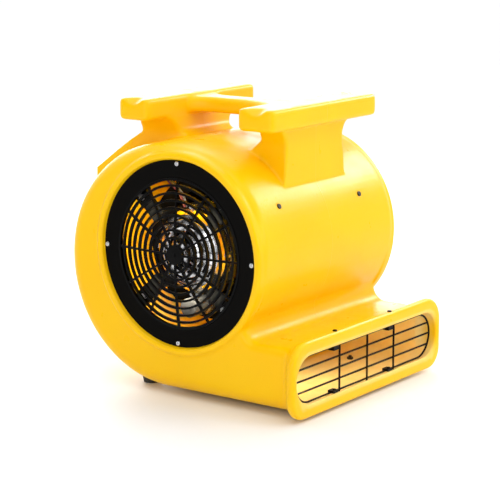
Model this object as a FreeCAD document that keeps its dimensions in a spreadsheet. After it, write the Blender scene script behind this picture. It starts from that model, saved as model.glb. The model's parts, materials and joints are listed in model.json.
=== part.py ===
import FreeCAD, Part
import math
import os

V = FreeCAD.Vector

# An air mover (carpet dryer): a hollow moulded housing with a volute drum and a
# wide low outlet, and a double-inlet centrifugal wheel driven by a motor that
# hangs in the left intake.  Frame: +X to the right of someone who faces the
# outlet's back, +Y to the rear, +Z up; the outlet blows towards -Y and the fan
# axis lies along X.  The origin is on the floor, below the middle of the object.

doc = FreeCAD.newDocument("air_mover")
sheet = doc.addObject("Spreadsheet::Sheet", "Sizes")

SIZES = [
    # drum and duct
    ("axis_height", 253), ("drum_half_width", 207), ("wall", 5), ("drum_edge_radius", 30),
    ("rear_arc_y", 36), ("rear_arc_radius", 214), ("front_arc_y", -8),
    ("front_arc_height", 261), ("front_arc_radius", 171), ("floor_gap", 10),
    ("duct_top", 120), ("tongue_radius", 25), ("duct_end", 228), ("front_edge_radius", 14),
    # outlet lip
    ("lip_front", 262), ("lip_half_width", 236), ("lip_top", 136), ("lip_bottom", 5),
    ("slot_half_width", 224), ("slot_top", 111), ("slot_bottom", 29),
    # top bars, pillars and carrying handle
    ("bar_half_length", 161), ("bar_top", 505), ("bar_height", 38), ("bar_front", 166),
    ("front_bar_depth", 74), ("rear_bar_depth", 64), ("scoop_radius", 24),
    ("scoop_depth", 12), ("scoop_run", 26), ("pillar_half_width", 87), ("pillar_fillet", 32),
    ("front_pillar_foot", 93), ("front_pillar_face", 143), ("pillar_taper_start", 30),
    ("pillar_taper_end", 180), ("pillar_taper_half", 45), ("back_pad", 262),
    ("pad_half_width", 110), ("slope_top_height", 440), ("slope_foot_height", 367),
    ("handle_half_width", 26), ("handle_top", 500), ("handle_thickness", 28),
    ("grip_front", 10), ("grip_rear", 48), ("handle_front_radius", 150),
    ("handle_rear_radius", 80),
    # intakes
    ("ring_face", 204.7), ("ring_thickness", 2.5), ("ring_outer", 162), ("ring_inner", 131),
    ("ring_screw_circle", 156), ("rim_outer", 177), ("rim_height", 6), ("seat_inner", 150),
    ("guard_dome", 10), ("guard_pitch", 12.6), ("guard_rings", 8), ("guard_spokes", 12),
    ("guard_bar", 4),
    # fan wheel and motor
    ("wheel_outer", 128), ("wheel_inner", 103), ("wheel_half_width", 115),
    ("blade_count", 36), ("blade_thickness", 1.6), ("shaft_radius", 7.5),
    ("motor_face", 182), ("motor_radius", 72), ("can_outer_end", 150), ("can_inner_end", 62),
    ("motor_back", 34), ("stator_bore", 36), ("running_gap", 0.5), ("bearing_outer", 17.5),
    ("bearing_width", 11), ("arm_width", 28), ("arm_thickness", 4), ("arm_angle", 45),
    ("bush_circle", 143), ("joint_circle", 124),
    # outlet grille
    ("wire", 3.5), ("grille_depth", 250), ("loop_half_width", 214), ("loop_top", 108),
    ("loop_bottom", 29), ("upright_pitch", 86.5), ("clip_shift", 17),
    # shoulder screws, feet, switch and gland
    ("left_shoulder_x", 131), ("left_shoulder_height", 342), ("right_shoulder_x", 107),
    ("right_shoulder_height", 331),
    ("foot_front_x", 140), ("foot_rear_x", 150), ("foot_front_y", -128), ("foot_rear_y", 105),
    ("foot_radius", 16),
    ("knob_radius", 19), ("knob_height", 20), ("plate_radius", 30), ("gland_height", 335),
    ("gland_y", 242), ("lead_radius", 2.5),
]


def fill_sheet():
    for row, (alias, value) in enumerate(SIZES, start=1):
        sheet.set("A%d" % row, alias)
        sheet.set("B%d" % row, str(value))
        sheet.setAlias("B%d" % row, alias)
    doc.recompute()


fill_sheet()
S = {alias: float(sheet.get(alias)) for alias, _ in SIZES}
AXIS = S["axis_height"]
HALF = S["drum_half_width"]
WALL = S["wall"]


# ---------------------------------------------------------------- helpers

NODES = []

SKETCH_TURNS = {
    "XY": FreeCAD.Rotation(),
    "XZ": FreeCAD.Rotation(V(1, 0, 0), V(0, 0, 1), V(0, -1, 0)),
    "YZ": FreeCAD.Rotation(V(0, 1, 0), V(0, 0, 1), V(1, 0, 0)),
}


def keep(obj, label):
    """Give a finished piece its own name and put it on the list of nodes."""
    obj.Label = label
    NODES.append(obj)
    return obj


def segments(points):
    """Straight edges through the points and back to the first one."""
    flat = [V(x, y, 0) for x, y in points]
    return [Part.LineSegment(a, b) for a, b in zip(flat, flat[1:] + flat[:1])]


def arc(cx, cy, radius, start_deg, end_deg):
    circle = Part.Circle(V(cx, cy, 0), V(0, 0, 1), radius)
    return Part.ArcOfCircle(circle, math.radians(start_deg), math.radians(end_deg))


def round_rectangle(x0, x1, y0, y1, bottom_radius, top_radius):
    """A rectangle with one corner radius below and another above."""
    b, t = bottom_radius, top_radius
    return [
        Part.LineSegment(V(x0 + b, y0, 0), V(x1 - b, y0, 0)), arc(x1 - b, y0 + b, b, -90, 0),
        Part.LineSegment(V(x1, y0 + b, 0), V(x1, y1 - t, 0)), arc(x1 - t, y1 - t, t, 0, 90),
        Part.LineSegment(V(x1 - t, y1, 0), V(x0 + t, y1, 0)), arc(x0 + t, y1 - t, t, 90, 180),
        Part.LineSegment(V(x0, y1 - t, 0), V(x0, y0 + b, 0)), arc(x0 + b, y0 + b, b, 180, 270),
    ]


def free_sketch(name, plane, geometry, height=0.0):
    """A sketch outside any body, on a plane parallel to one of the main planes."""
    sketch = doc.addObject("Sketcher::SketchObject", name)
    turn = SKETCH_TURNS[plane]
    sketch.Placement = FreeCAD.Placement(turn.multVec(V(0, 0, height)), turn)
    sketch.addGeometry(geometry, False)
    return sketch


def extrude(name, sketch, length, both_ways=True):
    """Part::Extrusion along the sketch's normal; length is a sheet expression."""
    solid = doc.addObject("Part::Extrusion", name)
    solid.Base = sketch
    solid.DirMode = "Normal"
    solid.Solid = True
    solid.Symmetric = both_ways
    solid.setExpression("LengthFwd", length)
    return solid


def combine(kind, name, pieces):
    joined = doc.addObject("Part::" + kind, name)
    joined.Shapes = pieces
    return joined


def fillet(name, base, radius_at, test):
    """Round the edges whose points all pass the test; radius_at gives each end's radius."""
    doc.recompute()
    rounded = doc.addObject("Part::Fillet", name)
    rounded.Base = base
    chosen = []
    for number, edge in enumerate(base.Shape.Edges, start=1):
        first, last = edge.ParameterRange
        points = [edge.valueAt(first), edge.valueAt((first + last) / 2), edge.valueAt(last)]
        if all(test(p) for p in points):
            chosen.append((number, radius_at(points[0]), radius_at(points[-1])))
    rounded.Edges = chosen
    return rounded


def body_plane(body, role):
    return [item for item in body.Origin.OriginFeatures if item.Role == role][0]


def body_sketch(body, role, geometry):
    sketch = body.newObject("Sketcher::SketchObject", body.Name + "_sketch")
    sketch.AttachmentSupport = [(body_plane(body, role), "")]
    sketch.MapMode = "FlatFace"
    sketch.addGeometry(geometry, False)
    return sketch


def turned(label, outlines, x=0.0, y=0.0, height="Sizes.axis_height"):
    """A body turned about an axis along X: outlines are lists of (x, radius)."""
    body = doc.addObject("PartDesign::Body", label)
    geometry = [edge for outline in outlines for edge in segments(outline)]
    sketch = body_sketch(body, "XZ_Plane", geometry)
    turn = body.newObject("PartDesign::Revolution", label + "_turn")
    turn.Profile = sketch
    turn.ReferenceAxis = (sketch, ["H_Axis"])
    turn.Angle = 360
    body.Placement.Base = V(x, y, 0)
    body.setExpression(".Placement.Base.z", height)
    return keep(body, label)


def tube_outline(x0, x1, inner, outer):
    return [(x0, inner), (x1, inner), (x1, outer), (x0, outer)]


def add_polar_pad(body, geometry, role, length, count, name):
    """A pad repeated about the body's own X axis."""
    sketch = body_sketch(body, role, geometry)
    pad = body.newObject("PartDesign::Pad", name)
    pad.Profile = sketch
    pad.SideType = "Symmetric"
    pad.setExpression("Length", length)
    body.Tip = pad
    doc.recompute()
    pattern = body.newObject("PartDesign::PolarPattern", name + "_pattern")
    pattern.Originals = [pad]
    pattern.Axis = (body_plane(body, "X_Axis"), [""])
    pattern.Angle = 360
    pattern.setExpression("Occurrences", count)
    body.Tip = pattern
    return pattern


def group(label, shapes):
    """Identical small pieces that share one node, each its own solid."""
    feature = doc.addObject("Part::Feature", label)
    feature.Shape = Part.makeCompound(shapes) if len(shapes) > 1 else shapes[0]
    return keep(feature, label)


def cylinder(radius, length, start, direction):
    return Part.makeCylinder(radius, length, V(*start), V(*direction))


def hexagon(across_flats, length, start, direction):
    """A hexagonal prism, such as a nut or a bolt's head."""
    corner = across_flats / math.sqrt(3)
    ring = [V(corner * math.cos(math.radians(60 * k)), corner * math.sin(math.radians(60 * k)), 0)
            for k in range(7)]
    prism = Part.Face(Part.makePolygon(ring)).extrude(V(0, 0, length))
    prism.Placement = FreeCAD.Placement(V(*start), FreeCAD.Rotation(V(0, 0, 1), V(*direction)))
    return prism


def around_axis(x, radius, angle_deg):
    """A point at a radius from the fan axis; 0 degrees is up, positive to the rear."""
    turn = math.radians(angle_deg)
    return (x, radius * math.sin(turn), AXIS + radius * math.cos(turn))


# ---------------------------------------------------------------- housing

def drum_outline(inset, duct_end):
    """The drum and duct from the side (y, z), moved inwards by the wall or by 0."""
    rear = (S["rear_arc_y"], S["floor_gap"] + S["rear_arc_radius"])
    front = (S["front_arc_y"], S["front_arc_height"])
    rear_radius = S["rear_arc_radius"] - inset
    front_radius = S["front_arc_radius"] - inset
    span = math.hypot(front[0] - rear[0], front[1] - rear[1])
    between = math.degrees(math.atan2(front[1] - rear[1], front[0] - rear[0]))
    lean = math.degrees(math.acos((rear_radius - front_radius) / span))
    crown = between - lean
    up = V(math.cos(math.radians(crown)), math.sin(math.radians(crown)), 0)
    crown_rear = V(*rear, 0) + up * rear_radius
    crown_front = V(*front, 0) + up * front_radius

    tongue_radius = S["tongue_radius"] + inset
    tongue_z = S["duct_top"] + S["tongue_radius"]
    reach = S["front_arc_radius"] + S["tongue_radius"]
    tongue_y = front[0] - math.sqrt(reach ** 2 - (front[1] - tongue_z) ** 2)
    to_tongue = math.degrees(math.atan2(tongue_z - front[1], tongue_y - front[0])) + 360
    top, low = S["duct_top"] - inset, S["floor_gap"] + inset
    return [
        arc(*rear, rear_radius, -90, crown),
        Part.LineSegment(crown_rear, crown_front),
        arc(*front, front_radius, crown, to_tongue),
        arc(tongue_y, tongue_z, tongue_radius, -90, to_tongue - 180),
        Part.LineSegment(V(tongue_y, top, 0), V(-duct_end, top, 0)),
        Part.LineSegment(V(-duct_end, top, 0), V(-duct_end, low, 0)),
        Part.LineSegment(V(-duct_end, low, 0), V(rear[0], low, 0)),
    ]


def drum_solid(name, inset, duct_end, half_width):
    outline = free_sketch(name + "_outline", "YZ", drum_outline(inset, duct_end))
    block = extrude(name + "_block", outline, half_width)

    def on_side_edge(p):
        on_side = abs(p.x) > HALF - inset - 0.01
        top_or_bottom = not S["floor_gap"] + inset + 0.01 < p.z < S["duct_top"] - inset - 0.01
        return on_side and (p.y > -duct_end + 0.01 or top_or_bottom)

    def edge_radius(p):
        """The edge is sharper from the drum's front down to the duct's top."""
        in_front = p.y < S["front_arc_y"] - 60 and p.z > S["duct_top"] - inset - 0.01
        return (S["front_edge_radius"] if in_front else S["drum_edge_radius"]) - inset
    return fillet(name, block, edge_radius, on_side_edge)


def loft(name, sections):
    """A ruled loft through round rectangles (y, half width, bottom, top, radii)."""
    sketches = []
    for y, half, low, high, low_radius, high_radius in sections:
        outline = round_rectangle(-half, half, low, high, low_radius, high_radius)
        sketches.append(free_sketch(name + "_section", "XZ", outline, -y))
    solid = doc.addObject("Part::Loft", name)
    solid.Sections = sketches
    solid.Solid = True
    solid.Ruled = True
    return solid


def lip_solid():
    """The outlet's flared lip, thickest at its front."""
    end, front, half = S["duct_end"], S["lip_front"], S["lip_half_width"]
    low, high = S["lip_bottom"], S["lip_top"]
    return loft("lip", [
        (-end, HALF, S["floor_gap"], S["duct_top"], S["drum_edge_radius"], S["front_edge_radius"]),
        (-(end + 8), half - 17, low + 3, high - 10, 32, 30),
        (-(end + 16), half - 6, low + 1, high - 4, 34, 40),
        (-(front - 11), half - 1, low, high, 36, 44),
        (-(front - 4), half, low, high, 36, 44),
        (-front, half - 4, low + 3, high - 4, 33, 40),
    ])


def mouth_cut():
    """The way out through the lip: the duct widens into a slot with round ends."""
    end, front, half = S["duct_end"], S["lip_front"], S["slot_half_width"]
    inner, front_inner = S["drum_edge_radius"] - WALL, S["front_edge_radius"] - WALL
    slot_radius = (S["slot_top"] - S["slot_bottom"]) / 2 - 0.05
    return loft("mouth", [
        (-(end - 30), HALF - WALL, S["floor_gap"] + WALL, S["duct_top"] - WALL, inner, front_inner),
        (-(end + 2), HALF - WALL, S["floor_gap"] + WALL + 1, S["duct_top"] - WALL, inner + 3, 20),
        (-(end + 17), half - 6, S["slot_bottom"] - 6, S["slot_top"] + 3, 40, 40),
        (-(front - 8), half - 2, S["slot_bottom"] - 2, S["slot_top"] + 2, 42, 42),
        (-(front - 3), half - 2, S["slot_bottom"], S["slot_top"], slot_radius, slot_radius),
        (-(front + 1), half + 3, S["slot_bottom"] - 4, S["slot_top"] + 4, 44, 44),
    ])


def bar_span(side):
    """Where the front bar (-1) or the rear bar (1) starts and ends along y."""
    if side < 0:
        return -S["bar_front"], -S["bar_front"] + S["front_bar_depth"]
    return S["bar_front"] - S["rear_bar_depth"], S["bar_front"]


def bar(name, inset, side):
    """One of the two bars across the top, with rounded edges."""
    y_start, y_end = bar_span(side)
    block = doc.addObject("Part::Box", name + "_block")
    block.Length = 2 * (S["bar_half_length"] - 4 * inset)
    block.Width = y_end - y_start - 2 * inset
    block.Height = S["bar_height"] - 2.6 * inset
    block.Placement.Base = V(-S["bar_half_length"] + 4 * inset, y_start + inset,
                             S["bar_top"] - S["bar_height"] + inset)
    if inset:
        return block
    ends = S["bar_half_length"] - 0.01
    upright = fillet(name + "_upright", block, lambda p: 9, lambda p: abs(p.x) > ends
                     and min(abs(p.y - y_start), abs(p.y - y_end)) < 0.01)
    return fillet(name, upright, lambda p: 5, lambda p: p.z > S["bar_top"] - 0.01
                  or p.z < S["bar_top"] - S["bar_height"] + 0.01)


def pillar_outline(neck, foot, foot_z, low, inset):
    """A pillar seen from the front: flares into the bar above and spreads below."""
    r = S["pillar_fillet"] + inset
    under = S["bar_top"] - S["bar_height"] + inset
    return [
        Part.LineSegment(V(-neck - r, under, 0), V(neck + r, under, 0)),
        arc(neck + r, under - r, r, 90, 180),
        Part.LineSegment(V(neck, under - r, 0), V(foot, foot_z, 0)),
        Part.LineSegment(V(foot, foot_z, 0), V(foot, low, 0)),
        Part.LineSegment(V(foot, low, 0), V(-foot, low, 0)),
        Part.LineSegment(V(-foot, low, 0), V(-foot, foot_z, 0)),
        Part.LineSegment(V(-foot, foot_z, 0), V(-neck, under - r, 0)),
        arc(-neck - r, under - r, r, 0, 90),
    ]


def front_pillar(name, inset):
    """The pillar under the front bar."""
    under = S["bar_top"] - S["bar_height"] + inset
    face, back = S["front_pillar_face"] - inset, -bar_span(-1)[1] + inset
    low = AXIS + 90
    side = segments([(-face, under), (-face, low), (-40 - 3 * inset, low),
                     (-62 - 2.4 * inset, under - 47), (-back + 4 - inset, under - 24),
                     (-back, under)])
    outline = pillar_outline(S["pillar_half_width"] - inset, S["front_pillar_foot"] - inset,
                             AXIS + 110, low, inset)
    across = extrude(name + "_across", free_sketch(name + "_outline", "XZ", outline),
                     "Sizes.bar_front * 2.5")
    along = extrude(name + "_along", free_sketch(name + "_side", "YZ", side),
                    "Sizes.bar_half_length * 2")
    return combine("MultiCommon", name, [across, along])


def rear_pillar(name, inset):
    """The pillar under the rear bar: it widens down the back to an upright pad."""
    under = S["bar_top"] - S["bar_height"] + inset
    front, pad = bar_span(1)[0] + inset, S["back_pad"] - inset
    slope_y = S["bar_front"] - 4 - inset
    top_z, foot_z = S["slope_top_height"] - inset, S["slope_foot_height"] - inset / 2
    low = AXIS - 60 + 1.4 * inset
    side = segments([(front, under), (slope_y - 3, under), (slope_y, top_z), (pad, foot_z),
                     (pad, low + 20), (pad - 30, low), (120, low), (40 + 3 * inset, AXIS + 100),
                     (62 + 2.4 * inset, under - 47), (front - 4 + inset, under - 24)])
    sections = []
    for y, half in ((S["pillar_taper_start"], S["pillar_taper_half"] - 1.15 * inset),
                    (S["pillar_taper_end"], S["pad_half_width"] - inset),
                    (S["back_pad"] + 10, S["pad_half_width"] - inset)):
        outline = pillar_outline(half, half, AXIS + 110, low - 5, inset)
        sections.append(free_sketch(name + "_outline", "XZ", outline, -y))
    across = doc.addObject("Part::Loft", name + "_across")
    across.Sections = sections
    across.Solid = True
    across.Ruled = True
    along = extrude(name + "_along", free_sketch(name + "_side", "YZ", side),
                    "Sizes.bar_half_length * 2")
    return combine("MultiCommon", name, [across, along])


def handle(name, inset):
    """The carrying handle between the bars: a straight grip that flares into each bar."""
    half = S["handle_half_width"] - inset
    front_radius, rear_radius = S["handle_front_radius"] + inset, S["handle_rear_radius"] + inset
    grip_front, grip_rear = S["grip_front"], S["grip_rear"]
    front_end, rear_end = bar_span(-1)[1] - 10, bar_span(1)[0] + 10
    front_turn = math.degrees(math.asin((grip_front - front_end) / front_radius))
    rear_turn = math.degrees(math.asin((rear_end - grip_rear) / rear_radius))
    front_half = half + front_radius * (1 - math.cos(math.radians(front_turn)))
    rear_half = half + rear_radius * (1 - math.cos(math.radians(rear_turn)))
    geometry = [
        arc(half + front_radius, grip_front, front_radius, 180, 180 + front_turn),
        arc(-half - front_radius, grip_front, front_radius, -front_turn, 0),
        arc(half + rear_radius, grip_rear, rear_radius, 180 - rear_turn, 180),
        arc(-half - rear_radius, grip_rear, rear_radius, 0, rear_turn),
        Part.LineSegment(V(half, grip_front, 0), V(half, grip_rear, 0)),
        Part.LineSegment(V(-half, grip_front, 0), V(-half, grip_rear, 0)),
        Part.LineSegment(V(-front_half, front_end, 0), V(front_half, front_end, 0)),
        Part.LineSegment(V(-rear_half, rear_end, 0), V(rear_half, rear_end, 0)),
    ]
    low = S["handle_top"] - S["handle_thickness"] + inset
    sketch = free_sketch(name + "_outline", "XY", geometry, low)
    block = extrude(name + "_block", sketch, "Sizes.handle_thickness - %g" % (2 * inset), False)
    if inset:
        return block
    middle = low + S["handle_thickness"] / 2

    def on_long_side(p):
        """The two end faces' own edges have a point on the middle plane x = 0."""
        return abs(p.x) > 1 and abs(p.z - middle) > S["handle_thickness"] / 2 - 0.01
    return fillet(name, block, lambda p: 11 if p.z > middle else 8, on_long_side)


def scoops():
    """A scoop in the top of each end of each bar, deepest at the very end."""
    cuts = []
    radius, depth, run = S["scoop_radius"], S["scoop_depth"], S["scoop_run"]
    for side_x in (1, -1):
        for side_y in (1, -1):
            middle = sum(bar_span(side_y)) / 2
            inward = V(-side_x * run, 0, depth)
            lift = radius * inward.Length / run - depth
            end = V(side_x * S["bar_half_length"], middle, S["bar_top"] + lift)
            cuts.append(Part.makeCylinder(radius, inward.Length * 2.2, end - inward, inward))
    feature = doc.addObject("Part::Feature", "bar_scoops")
    feature.Shape = Part.makeCompound(cuts)
    return feature


def intake_hole(side):
    hole = doc.addObject("Part::Cylinder", "intake_hole")
    hole.setExpression("Radius", "Sizes.ring_outer + 1.5")
    hole.Height = 20
    start = V(side * (HALF - WALL - 5), 0, AXIS)
    hole.Placement = FreeCAD.Placement(start, FreeCAD.Rotation(V(0, 0, 1), V(side, 0, 0)))
    return hole


def intake_rim(side):
    """The raised rim round an intake and the recessed seat for its ring."""
    back = S["ring_face"] - S["ring_thickness"]
    edge, outer, crest = S["ring_outer"] + 1.5, S["rim_outer"], HALF + S["rim_height"]
    lines = [V(back - 6, 0, S["seat_inner"]), V(back, 0, S["seat_inner"]), V(back, 0, edge),
             V(HALF + 1, 0, edge)]
    wire_edges = [Part.makeLine(a, b) for a, b in zip(lines, lines[1:])]
    crown = Part.Arc(lines[-1], V(crest, 0, (edge + outer) / 2), V(HALF - 1, 0, outer))
    wire_edges.append(crown.toShape())
    tail = [V(HALF - 1, 0, outer), V(HALF - 14, 0, outer), V(back - 6, 0, edge + 3), lines[0]]
    wire_edges += [Part.makeLine(a, b) for a, b in zip(tail, tail[1:])]
    ring = Part.Face(Part.Wire(wire_edges)).revolve(V(0, 0, 0), V(1, 0, 0), 360)
    if side < 0:
        ring = ring.mirror(V(0, 0, 0), V(1, 0, 0))
    feature = doc.addObject("Part::Feature", "intake_rim")
    feature.Shape = ring
    feature.Placement.Base = V(0, 0, AXIS)
    return feature


def drilled_holes():
    """Every hole that a fastener, plug, switch or gland needs in the housing."""
    cuts = []
    back = S["ring_face"] - S["ring_thickness"]
    for side in (1, -1):
        for k in range(4):
            start = around_axis(side * (back - 12), S["ring_screw_circle"], 90 * k)
            cuts.append(cylinder(1.9, 14, start, (side, 0, 0)))
    for x, y in foot_places():
        cuts.append(cylinder(3.1, 30, (x, y, 0), (0, 0, 1)))
    for x in clip_places():
        cuts.append(cylinder(2.0, 40, (x, -clip_depth(), S["slot_top"] - 5), (0, 0, 1)))
        cuts.append(cylinder(2.0, 16, (x, -clip_depth(), S["slot_bottom"] - 10), (0, 0, 1)))
    for x, y in plug_places():
        cuts.append(cylinder(3.8, 14, (x, y, S["bar_top"] - 10), (0, 0, 1)))
    for start, direction in front_plug_places():
        cuts.append(cylinder(3.2, 20, start - direction * 14, direction))
    centre, normal = switch_place()
    cuts.append(cylinder(8, 30, centre - normal * 20, normal))
    for offset in switch_screw_offsets():
        cuts.append(cylinder(1.6, 24, centre + offset - normal * 18, normal))
    gland = V(S["pad_half_width"] - 12, S["gland_y"], S["gland_height"])
    cuts.append(cylinder(10, 30, gland, (1, 0, 0)))
    feature = doc.addObject("Part::Feature", "drilled_holes")
    feature.Shape = Part.makeCompound(cuts)
    return feature


def foot_places():
    return [(side * S["foot_%s_x" % end], S["foot_%s_y" % end])
            for side in (1, -1) for end in ("front", "rear")]


def clip_places():
    return [side * S["upright_pitch"] - S["clip_shift"] for side in (-1, 1)]


def clip_depth():
    """How far forward the clips' screws stand, just ahead of the grille's wires."""
    return S["grille_depth"] + 4.6


def plug_places():
    return [(S["bar_half_length"] - 30, y) for y in (-S["bar_front"] + 51, S["bar_front"] - 29)]


def front_plug_places():
    """Two screws on the drum's front shoulders: a point on the skin and its normal."""
    places = []
    for end, side in (("left", -1), ("right", 1)):
        height = S["%s_shoulder_height" % end]
        rise = height - S["front_arc_height"]
        run = math.sqrt(S["front_arc_radius"] ** 2 - rise ** 2)
        skin = V(side * S["%s_shoulder_x" % end], S["front_arc_y"] - run, height)
        places.append((skin, V(0, -run, rise).normalize()))
    return places


def switch_place():
    """The middle of the sloped panel behind the rear bar, and its normal."""
    top = V(0, S["bar_front"] - 4, S["slope_top_height"])
    foot = V(0, S["back_pad"], S["slope_foot_height"])
    along = (foot - top).normalize()
    return (top + foot) * 0.5, V(0, -along.z, along.y)


def switch_screw_offsets():
    return [V(side * (S["plate_radius"] - 6), 0, 0) for side in (1, -1)]


def housing():
    end = S["duct_end"]
    outer = combine("MultiFuse", "housing_outer", [
        drum_solid("drum_outer", 0, end, "Sizes.drum_half_width * 2"),
        lip_solid(), bar("front_bar", 0, -1), bar("rear_bar", 0, 1),
        front_pillar("front_pillar", 0), rear_pillar("rear_pillar", 0), handle("handle", 0)])
    inner = combine("MultiFuse", "housing_inner", [
        drum_solid("drum_inner", WALL, end - 30, "(Sizes.drum_half_width - Sizes.wall) * 2"),
        mouth_cut(), bar("front_bar_inner", WALL, -1), bar("rear_bar_inner", WALL, 1),
        front_pillar("front_pillar_inner", WALL), rear_pillar("rear_pillar_inner", WALL),
        handle("handle_inner", WALL), intake_hole(1), intake_hole(-1), scoops()])
    shell = doc.addObject("Part::Cut", "housing_shell")
    shell.Base, shell.Tool = outer, inner
    rims = combine("MultiFuse", "housing_rimmed", [shell, intake_rim(1), intake_rim(-1)])
    final = doc.addObject("Part::Cut", "housing")
    final.Base, final.Tool = rims, drilled_holes()
    return keep(final, "housing")


# ---------------------------------------------------------------- intakes

def inlet_ring(label, side):
    """A flat steel ring that closes the intake's edge and carries the guard."""
    outer_x, inner_x = side * S["ring_face"], side * (S["ring_face"] - S["ring_thickness"])
    ring = turned(label, [tube_outline(inner_x, outer_x, S["ring_inner"], S["ring_outer"])])
    hole_geometry = [Part.Circle(V(0, S["ring_screw_circle"], 0), V(0, 0, 1), 2.3)]
    sketch = body_sketch(ring, "YZ_Plane", hole_geometry)
    hole = ring.newObject("PartDesign::Pocket", label + "_hole")
    hole.Profile = sketch
    hole.Type = "ThroughAll"
    hole.Midplane = True
    ring.Tip = hole
    doc.recompute()
    pattern = ring.newObject("PartDesign::PolarPattern", label + "_holes")
    pattern.Originals = [hole]
    pattern.Axis = (body_plane(ring, "X_Axis"), [""])
    pattern.Angle = 360
    pattern.Occurrences = 4
    ring.Tip = pattern
    return ring


def guard_x(radius):
    """How far out the domed guard's face is at a radius."""
    sphere = (S["ring_inner"] ** 2 + S["guard_dome"] ** 2) / (2 * S["guard_dome"])
    return S["ring_face"] + S["guard_dome"] - sphere + math.sqrt(sphere ** 2 - radius ** 2)


def guard(label, side):
    """The moulded finger guard: concentric rings on radial spokes, slightly domed."""
    bar_size = S["guard_bar"]
    outlines = []
    for k in range(1, int(S["guard_rings"]) + 1):
        radius = S["ring_inner"] - S["guard_pitch"] * k
        face = guard_x(radius)
        outlines.append(tube_outline(side * face, side * (face - 5), radius - bar_size / 2,
                                     radius + bar_size / 2))
    hub_face = guard_x(0)
    hub_radius = S["ring_inner"] - S["guard_pitch"] * (S["guard_rings"] + 1)
    outlines.append([(side * hub_face, 0), (side * (hub_face - 6), 0),
                     (side * (hub_face - 6), hub_radius), (side * (hub_face - 0.6), hub_radius)])
    back = S["ring_face"] - S["ring_thickness"]
    rim = S["ring_inner"] - 0.3
    outlines.append([(side * (S["ring_face"] + 1), rim - 4), (side * (back - 3), rim - 4),
                     (side * (back - 3), rim + 4.5), (side * back, rim + 4.5), (side * back, rim),
                     (side * (S["ring_face"] + 1), rim)])
    body = turned(label, outlines)
    sphere = (S["ring_inner"] ** 2 + S["guard_dome"] ** 2) / (2 * S["guard_dome"])
    centre = S["ring_face"] + S["guard_dome"] - sphere

    def on_dome(radius, depth):
        x = centre + math.sqrt((sphere - depth) ** 2 - radius ** 2)
        return V(side * x, radius, 0)
    start, stop = hub_radius - 3, rim - 2
    middle = (start + stop) / 2
    spoke = [Part.Arc(on_dome(start, 0.4), on_dome(middle, 0.4), on_dome(stop, 0.4)),
             Part.LineSegment(on_dome(stop, 0.4), on_dome(stop, 4.6)),
             Part.Arc(on_dome(stop, 4.6), on_dome(middle, 4.6), on_dome(start, 4.6)),
             Part.LineSegment(on_dome(start, 4.6), on_dome(start, 0.4))]
    add_polar_pad(body, spoke, "XZ_Plane", "Sizes.guard_bar - 0.5", "Sizes.guard_spokes", label + "_spoke")
    return body


def pan_screw(head_radius, head_height, shank_radius, shank_length, seat, outward):
    """A pan-head screw whose head sits on a surface at seat, facing outward."""
    normal = V(*outward).normalize()
    seat = V(*seat)
    head = Part.makeCylinder(head_radius, head_height, seat, normal)
    head = head.makeFillet(head_height * 0.6, [edge for edge in head.Edges
                           if abs((edge.CenterOfMass - seat).dot(normal) - head_height) < 1e-6])
    shank = Part.makeCylinder(shank_radius, shank_length, seat, normal * -1)
    slot = Part.makeBox(head_radius * 1.3, 0.9, head_height * 0.5)
    slot.translate(V(-head_radius * 0.65, -0.45, head_height * 0.55))
    cross = slot.fuse(slot.rotated(V(0, 0, 0), V(0, 0, 1), 90))
    cross.Placement = FreeCAD.Placement(seat, FreeCAD.Rotation(V(0, 0, 1), normal)).multiply(cross.Placement)
    return head.cut(cross).fuse(shank)


def ring_screws(label, side):
    screws = []
    for k in range(4):
        seat = around_axis(side * S["ring_face"], S["ring_screw_circle"], 90 * k)
        screws.append(pan_screw(4.2, 2.4, 1.9, 13, seat, (side, 0, 0)))
    return group(label, screws)


# ---------------------------------------------------------------- motor

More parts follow.
